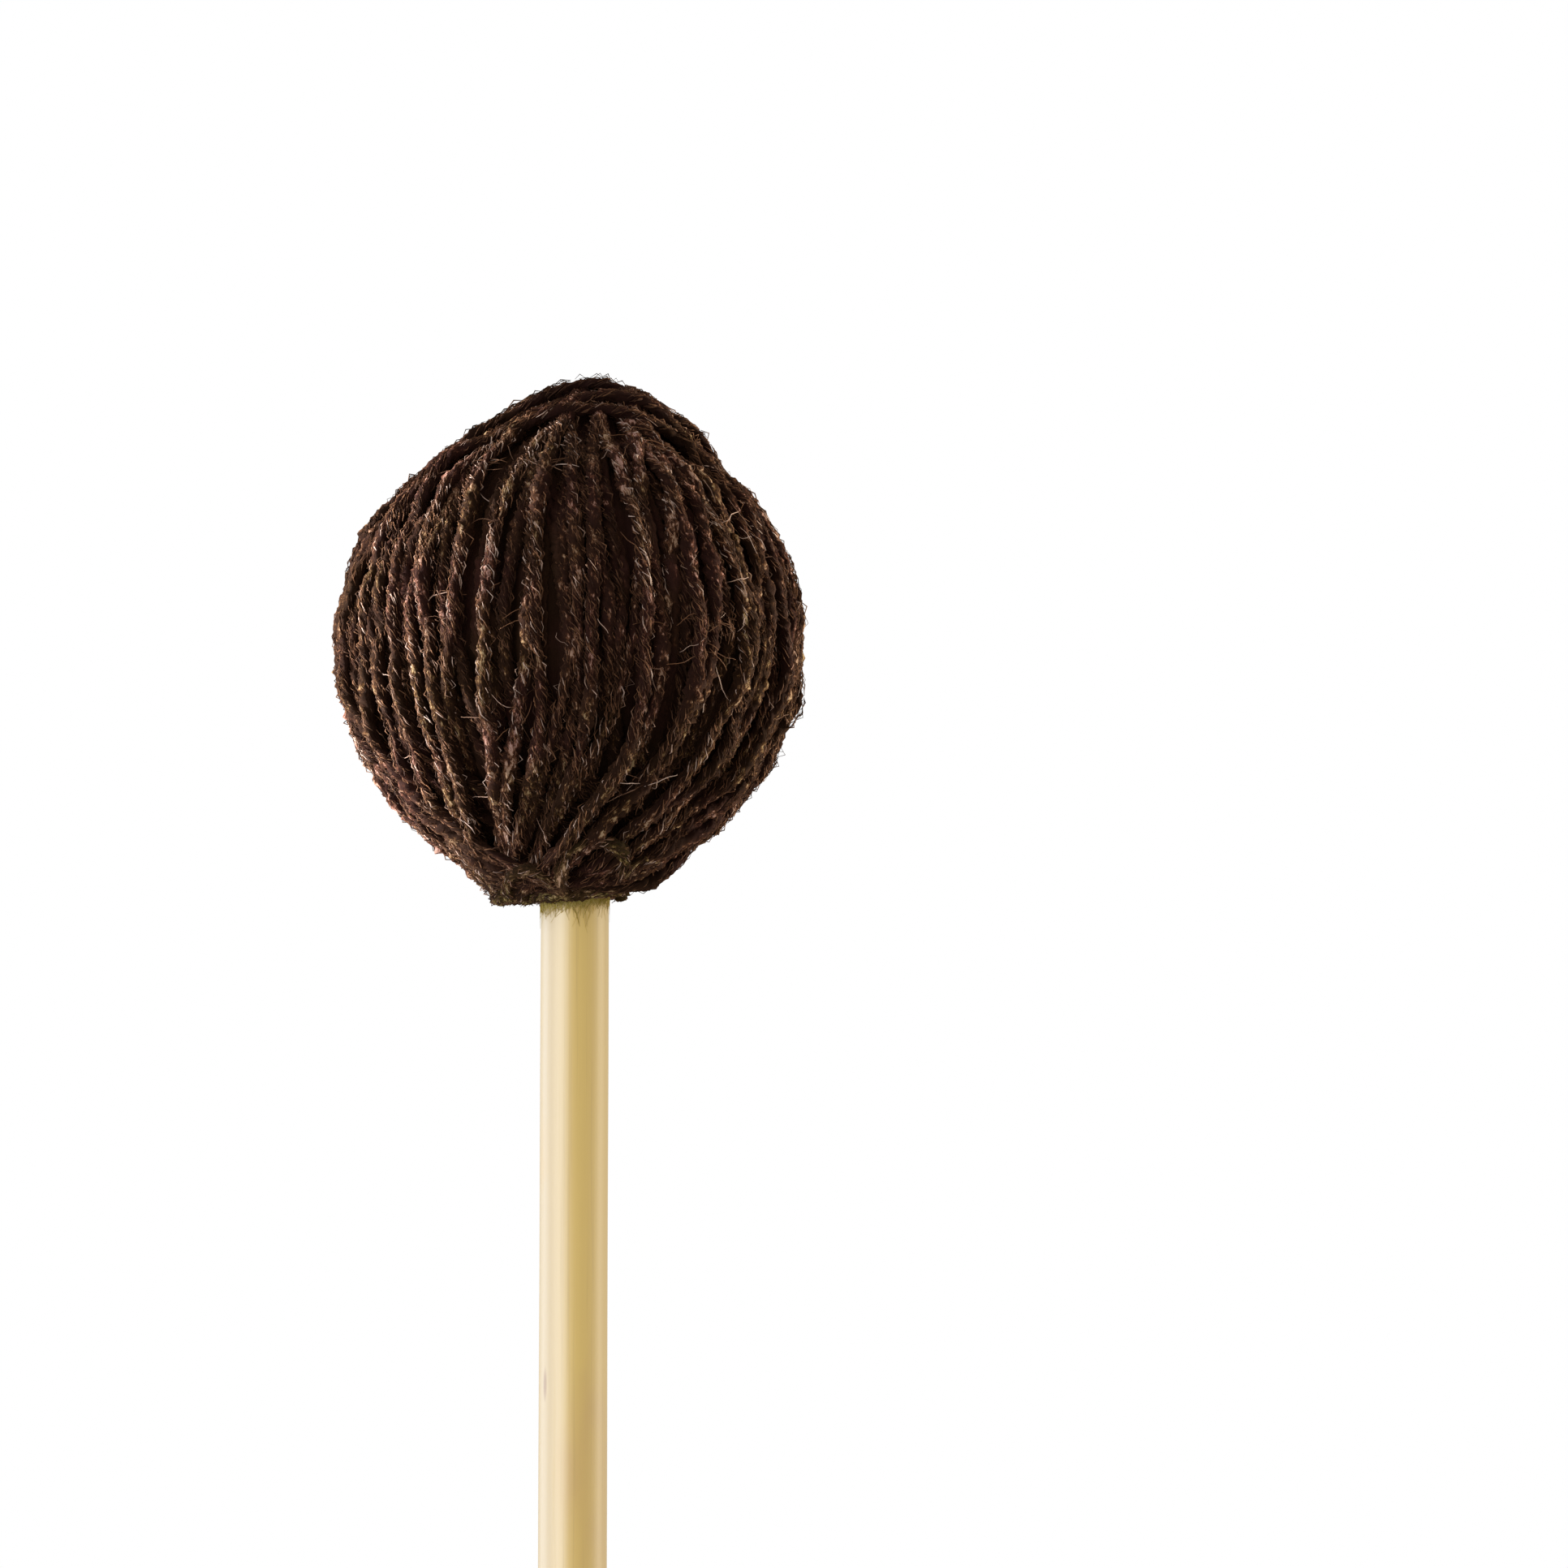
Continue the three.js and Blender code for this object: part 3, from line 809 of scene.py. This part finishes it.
stitch_wool = wool("stitch_wool", stitch_shadow, stitch_body, stitch_fibre, stitch_tips)
stitch_paths = [arch_path(), neck_path()]
for name, (points, out) in zip(("base_stitch_arches", "base_stitch_neck"), stitch_paths):
    tone = stitch_tone + stitch_tone_change * wavering(len(points), stitch_tone_steps)
    tone = np.clip(tone, 0, 1)
    stitch = put_strand(name, points, out, tone, ring_corners, stitch_first_length)
    stitch.data.materials.append(stitch_wool)
    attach(stitch, "root")
    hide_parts("base_stitch")

# Wool fibres
# Loose ends of the wool's own fibres: short ones that lie matted along the strands, and
# longer curls that stand off the head, thickest where the yarn has been rubbed.
fibre_dark = (0.028, 0.0118, 0.0072, 1)
fibre_brown = (0.205, 0.096, 0.048, 1)
fibre_pale = (0.50, 0.36, 0.295, 1)
olive_dark = (0.42, 0.30, 0.05, 1)
olive_brown = (0.58, 0.44, 0.11, 1)
olive_pale = (0.72, 0.58, 0.22, 1)
fibre_places = (0.15, 0.70, 1.0)
fibre_mottle = (900, 900, 900)
mottle_weight = 0.3
fibre_roughness = 0.7
fibre_gloss = 0.08
hair_sides = 3
tip_share = 0.35
tip_run = 0.08
tone_spread = (0.9, 2.1)
least_tone = 0.35
matted_count = 65000
matted_groups = 5
matted_steps = 3
matted_length = (0.0004, 0.0011)
matted_radius = (0.000022, 0.000055)
matted_seat_share = 0.95
matted_bow = (1.6, 0.000065)
matted_light = 1.25
past_the_side = 0.15
twist_followed = (0.5, 1.1)
sway = (0.05, 0.3)
sway_waves = (4, 11)
sway_start = (0, 6)
step_margin = 0.001
stitch_fibres = 1800
stitch_light = 1.2
neck_hairs = 1600
neck_hair_radius = (0.000010, 0.000022)
neck_hair_fall = (2.0, 0.00025)
neck_hair_stand = (0.000020, 0.000100)
neck_hair_lean = 0.30
neck_hair_shake = 0.04
neck_hair_sink = 0.6
neck_hair_tones = (0, 0.9)
curl_count = 260
curl_steps = 9
curl_length = (0.0010, 0.0036)
curl_stand = 0.0001
curl_stand_shares = (0.1, 1)
curl_root_share = 0.9
curl_side_margin = 0.2
curl_outward = 0.8
curl_outward_shares = (0.1, 1.0)
curl_bend = 0.42
curl_steady_bend = 0.30
curl_sink_undone = 0.85
curl_tones = (1.6, 1.8)
fibre_radius = (0.000016, 0.000040)
front_tufts_right = (0.76, -0.26, -0.35, -0.08, 0.53, -0.63, 0.30)
front_tufts_up = (0.46, -0.45, 0.69, 0.68, -0.13, 0.05, 0.80)
other_tufts = 10
tuft_fibres = 18
tuft_spread = 0.0006
strand_side, strand_lift = sides_of(strand_points, strand_out)


def put_fibres(name, paths, radii, tone):
    """Many thin hairs: each path carries a small triangle that tapers to both ends by a sine,
    and each hair has a tone between 0 and 1."""
    hairs, steps = paths.shape[:2]
    ways = unit(np.gradient(paths, axis=1))
    away = unit(paths - np.array([0, 0, head_height]))
    side = unit(np.cross(ways, away))
    lift = np.cross(side, ways)
    run = np.linspace(tip_run, 1 - tip_run, steps)
    taper = tip_share + (1 - tip_share) * np.sin(math.pi * run)
    angle = (2 * math.pi * np.arange(hair_sides) / hair_sides)[:, None]
    ring = np.cos(angle) * side[:, :, None, :] + np.sin(angle) * lift[:, :, None, :]
    reach = (radii[:, None] * taper[None, :])[:, :, None, None]
    skin = paths[:, :, None, :] + reach * ring
    first = (np.arange(hairs) * steps * hair_sides)[:, None, None]
    quads = (first + grid_faces(steps, hair_sides)[None]).reshape(-1, 4)
    near_caps = first[:, 0] + np.arange(hair_sides)[::-1]
    far_caps = first[:, 0] + (steps - 1) * hair_sides + np.arange(hair_sides)
    piece = put_mesh(name, skin.reshape(-1, 3), [quads, near_caps, far_caps])
    put_value(piece, "tone", np.repeat(tone, steps * hair_sides))
    return piece


def fibre_finish(name, dark, brown, pale):
    """Single wool fibres: a colour from dark to pale, by each one's tone plus a share of noise."""
    material, tree, shader = finish_named(name, fibre_roughness)
    tone = put(tree, "ShaderNodeAttribute", attribute_name="tone").outputs["Fac"]
    place = put(tree, "ShaderNodeTexCoord").outputs["Object"]
    uneven = noise(tree, place, fibre_mottle, hue_detail)
    total = put(tree, "ShaderNodeMath", operation="MULTIPLY_ADD")
    tree.links.new(uneven, total.inputs[0])
    total.inputs[1].default_value = mottle_weight
    tree.links.new(tone, total.inputs[2])
    stops = list(zip(fibre_places, (dark, brown, pale)))
    tree.links.new(ramp(tree, total.outputs[0], stops), shader.inputs["Base Color"])
    shader.inputs["Specular IOR Level"].default_value = fibre_gloss
    return material


def matted_paths(count, points, out):
    """Hairs that follow a strand: each runs on along it, turns round it about as fast as its
    plies do with a sway by a sine, and stands off it by a bow, which is the half wave of a
    sine. Also gives the step that each starts from."""
    side, lift = sides_of(points, out)
    step_length = np.linalg.norm(np.diff(points, axis=0), axis=1).mean()
    share = np.linspace(0, 1, matted_steps)[None, :]
    length = chance.uniform(*matted_length, count)[:, None]
    start = chance.integers(0, len(points) - 1, count)[:, None]
    at = np.clip(start + length / step_length * share, 0, len(points) - 1 - step_margin)
    before = at.astype(int)
    past = (at - before)[..., None]
    middle = points[before] * (1 - past) + points[before + 1] * past
    turn = chance.uniform(-past_the_side, math.pi + past_the_side, count)[:, None]
    twist = 2 * math.pi * chance.uniform(*twist_followed, count)[:, None]
    turn = turn + twist * length / ply_twist_length * (share - 0.5)
    sways = chance.uniform(*sway, count)[:, None]
    waves = share * chance.uniform(*sway_waves, count)[:, None]
    waves = waves + chance.uniform(*sway_start, count)[:, None]
    turn = turn + sways * np.sin(waves)
    bow = chance.gamma(*matted_bow, count)[:, None] * np.sin(math.pi * share)
    stand = matted_seat_share * yarn_radius + bow
    around = np.cos(turn)[..., None] * side[before] + np.sin(turn)[..., None] * lift[before]
    return middle + stand[..., None] * around, start[:, 0]


def curl_paths(start):
    """Hairs that stand off: each leaves the strand's skin sideways and a little outwards, and
    its way turns by a random walk, which curls it. Most of its way inwards is taken out."""
    count = len(start)
    turn = chance.uniform(curl_side_margin, math.pi - curl_side_margin, count)
    around = np.cos(turn)[:, None] * strand_side[start] + np.sin(turn)[:, None] * strand_lift[start]
    root = strand_points[start] + curl_root_share * yarn_radius * around
    first_way = unit(chance.normal(size=(count, 3)))
    outward = strand_out[start]
    first_way -= outward * np.sum(first_way * outward, axis=1, keepdims=True)
    rise = curl_outward * chance.uniform(*curl_outward_shares, (count, 1))
    first_way = unit(first_way) + rise * outward
    bend = chance.normal(0, curl_bend, (count, curl_steps, 3))
    bend += chance.normal(0, curl_steady_bend, (count, 1, 3))
    ways = unit(first_way[:, None, :] + np.cumsum(bend, axis=1))
    sink = np.minimum(np.sum(ways * outward[:, None, :], axis=2, keepdims=True), 0)
    ways = unit(ways - curl_sink_undone * sink * outward[:, None, :])
    length = chance.uniform(*curl_length, count) / curl_steps
    paths = root[:, None, :] + np.cumsum(ways * length[:, None, None], axis=1)
    return held_down(paths, curl_stand * chance.uniform(*curl_stand_shares, (count, 1)))


def held_down(paths, stand):
    """The paths with each point brought in to at most a stand above the head's outline."""
    from_middle = paths - np.array([0, 0, head_height])
    reach = np.linalg.norm(from_middle, axis=2)
    most = reach_at(np.arcsin(from_middle[..., 2] / reach)) + stand
    return paths + from_middle * (np.minimum(1, most / reach) - 1)[..., None]


def tuft_starts():
    """Places of the hairs in the tufts: the steps of the strand nearest to each tuft, after a
    random distance is added to each. The front tufts are given as shares of the belly's
    radius to the right and up, and the others lie anywhere."""
    right = np.array(front_tufts_right)
    up = np.array(front_tufts_up)
    front_ways = np.stack([right, -np.sqrt(1 - (right**2 + up**2)), up], -1)
    starts = []
    for way in np.concatenate([front_ways, unit(chance.normal(size=(other_tufts, 3)))]):
        gap = np.linalg.norm(strand_out - way, axis=1) * belly_radius
        gap += chance.exponential(tuft_spread, len(gap))
        starts.append(np.argsort(gap)[:tuft_fibres])
    return np.concatenate(starts)


def fibre_tones(strand_share, light):
    """Tone of each hair: a random one, dark in most, times a line of its strand's tone."""
    spread = chance.beta(*tone_spread, len(strand_share))
    return np.clip(spread * (least_tone + light * strand_share), 0, 1)


wool_fibre = fibre_finish("wool_fibre", fibre_dark, fibre_brown, fibre_pale)
for group in range(matted_groups):
    paths, starts = matted_paths(matted_count // matted_groups, strand_points, strand_out)
    radii = chance.uniform(*matted_radius, len(paths))
    # Hairs on the deeper loops take their strand's low tone, which is painted shade.
    tones = fibre_tones(strand_tone[starts], matted_light)
    hairs = put_fibres(f"matted_fibres_{group + 1}", paths, radii, tones)
    hairs.data.materials.append(wool_fibre)
    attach(hairs, "root")

for name, (points, out) in zip(("arch_fibres", "neck_fibres"), stitch_paths):
    paths, starts = matted_paths(stitch_fibres // 2, points, out)
    radii = chance.uniform(*fibre_radius, len(paths))
    tones = fibre_tones(np.full(len(paths), stitch_tone), stitch_light)
    hairs = put_fibres(name, paths, radii, tones)
    hairs.data.materials.append(wool_fibre)
    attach(hairs, "root")


def neck_hair_paths():
    """Short hairs pulled down on to the handle at the neck: each starts at a place of its own
    round the handle, runs down and round, and lies ever closer to the rod's skin."""
    share = np.linspace(0, 1, matted_steps)[None, :]
    turn = chance.uniform(0, 2 * math.pi, (neck_hairs, 1))
    turn = turn + chance.normal(0, neck_hair_lean, (neck_hairs, 1)) * share
    turn = turn + chance.normal(0, neck_hair_shake, (neck_hairs, matted_steps))
    top = head_height - neck_drop - collar_tilt * np.cos(turn - collar_lowest)
    fall = chance.gamma(*neck_hair_fall, (neck_hairs, 1)) * share
    stand = chance.uniform(*neck_hair_stand, (neck_hairs, 1)) * (1 - neck_hair_sink * share)
    radius = handle_radius + stand
    return np.stack([radius * np.cos(turn), radius * np.sin(turn), top - fall], -1)


olive_fibre = fibre_finish("olive_fibre", olive_dark, olive_brown, olive_pale)
paths = neck_hair_paths()
radii = chance.uniform(*neck_hair_radius, len(paths))
tones = chance.uniform(*neck_hair_tones, len(paths))
neck_fuzz = put_fibres("neck_fuzz", paths, radii, tones)
neck_fuzz.data.materials.append(olive_fibre)
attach(neck_fuzz, "root")

loose_starts = np.concatenate([chance.integers(0, len(strand_points), curl_count), tuft_starts()])
paths = curl_paths(loose_starts)
radii = chance.uniform(*fibre_radius, len(paths))
curls = put_fibres("curled_fibres", paths, radii, chance.beta(*curl_tones, len(paths)))
curls.data.materials.append(wool_fibre)
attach(curls, "root")

# Floor, light and camera
# A pale floor at the height of the butt that fades out, a bright room, three soft boxes and
# two narrow lamps at the head's height, and a camera below the head that looks up at it.
floor_size = 0.7
floor_colour = (0.86, 0.86, 0.85, 1)
floor_roughness = 0.6
floor_fade = (0.30, 0.14)
room_colour = (1.0, 0.965, 0.90, 1)
room_front = 0.43
room_back = 0.72
box_places = ((-0.55, 0.22, 0.30), (-0.53, -0.50, 0.27), (0.60, 0.10, 0.26))
box_sizes = ((0.45, 0.7), (0.65, 0.6), (0.25, 0.7))
box_powers = (1.9, 3.6, 1.0)
box_colours = ((0.67, 0.80, 1.0), (0.86, 0.92, 1.0), (1.0, 0.93, 0.80))
spot_bearings = (math.radians(172), math.radians(17))
spot_powers = (84, 29)
spot_colours = ((0.86, 0.85, 0.82), (1.0, 0.94, 0.78))
spot_distance = 0.60
spot_reach = 0.0182
spot_lift = 0.0010
spot_size = 0.0025
spot_blend = 0.15
frame_width = 0.1104
camera_distance = 0.70
camera_below = math.radians(10)
camera_clip = 20
aim_right = 0.01469
aim_under_head = 0.00977
sensor_width = 0.036


def plain_floor():
    """Flat square of four corners with its face up."""
    half = floor_size / 2
    z = handle_low.z
    corners = np.array([[-half, -half, z], [half, -half, z], [half, half, z], [-half, half, z]])
    return put_mesh("floor", corners, [np.arange(4)[None, :]])


def put_lamp(name, data, place, way):
    """Lamp at a place, turned to shine along a way."""
    lamp = bpy.data.objects.new(name, data)
    lamp.location = place
    lamp.rotation_euler = way.to_track_quat("-Z", "Y").to_euler()
    bpy.context.scene.collection.objects.link(lamp)


def soft_box(name, place, size, power, colour):
    """Rectangular light at a place, turned to face the middle of the head."""
    data = bpy.data.lights.new(name, "AREA")
    data.shape = "RECTANGLE"
    data.size, data.size_y = size
    data.energy = power
    data.color = colour
    put_lamp(name, data, place, Vector((0, 0, head_height)) - Vector(place))


def head_spot(name, bearing, power, colour):
    """Narrow round light at the head's height, whose beam is just as wide as the head."""
    data = bpy.data.lights.new(name, "SPOT")
    data.spot_size = 2 * math.atan(spot_reach / spot_distance)
    data.spot_blend = spot_blend
    data.shadow_soft_size = spot_size
    data.energy = power
    data.color = colour
    way = Vector((math.cos(bearing), math.sin(bearing), 0))
    put_lamp(name, data, Vector((0, 0, head_height + spot_lift)) + spot_distance * way, -way)


def fading_floor():
    """A matt pale finish that turns clear with the distance from the axis."""
    material, tree, shader = finish_named("pale_floor", floor_roughness)
    shader.inputs["Base Color"].default_value = floor_colour
    distance = put(tree, "ShaderNodeVectorMath", operation="LENGTH")
    place = put(tree, "ShaderNodeTexCoord").outputs["Object"]
    tree.links.new(stretched(tree, place, (1, 1, 0)), distance.inputs[0])
    solid = between(tree, distance.outputs["Value"], *floor_fade)
    tree.links.new(solid, shader.inputs["Alpha"])
    return material


floor = plain_floor()
floor.data.materials.append(fading_floor())

world = bpy.data.worlds.new("white_studio")
bpy.context.scene.world = world
world.use_nodes = True
sky = world.node_tree
white_back = put(sky, "ShaderNodeBackground", Color=(1, 1, 1, 1), Strength=1.0)
room = put(sky, "ShaderNodeBackground", Color=room_colour)
way = put(sky, "ShaderNodeSeparateXYZ")
sky.links.new(put(sky, "ShaderNodeTexCoord").outputs["Generated"], way.inputs["Vector"])
brightness = put(sky, "ShaderNodeMapRange", From_Min=-1, To_Min=room_front, To_Max=room_back)
sky.links.new(way.outputs["Y"], brightness.inputs["Value"])
sky.links.new(brightness.outputs["Result"], room.inputs["Strength"])
seen = put(sky, "ShaderNodeLightPath")
either = put(sky, "ShaderNodeMixShader")
sky.links.new(seen.outputs["Is Camera Ray"], either.inputs[0])
sky.links.new(room.outputs[0], either.inputs[1])
sky.links.new(white_back.outputs[0], either.inputs[2])
sky.links.new(either.outputs[0], sky.nodes["World Output"].inputs["Surface"])

box_names = ("left_box", "front_box", "right_box")
for name, *settings in zip(box_names, box_places, box_sizes, box_powers, box_colours):
    soft_box(name, *settings)
for name, *settings in zip(("left_spot", "right_spot"), spot_bearings, spot_powers, spot_colours):
    head_spot(name, *settings)

camera_data = bpy.data.cameras.new("camera")
camera_data.sensor_width = 1000 * sensor_width
camera_data.lens = 1000 * sensor_width * camera_distance / frame_width
camera_data.clip_end = camera_clip
camera = bpy.data.objects.new("camera", camera_data)
aim = Vector((aim_right, 0, head_height - aim_under_head))
back = Vector((0, -math.cos(camera_below), -math.sin(camera_below)))
camera.location = aim + camera_distance * back
camera.rotation_euler = (-back).to_track_quat("-Z", "Y").to_euler()
bpy.context.scene.collection.objects.link(camera)
bpy.context.scene.camera = camera
bpy.context.scene.view_settings.view_transform = "Standard"
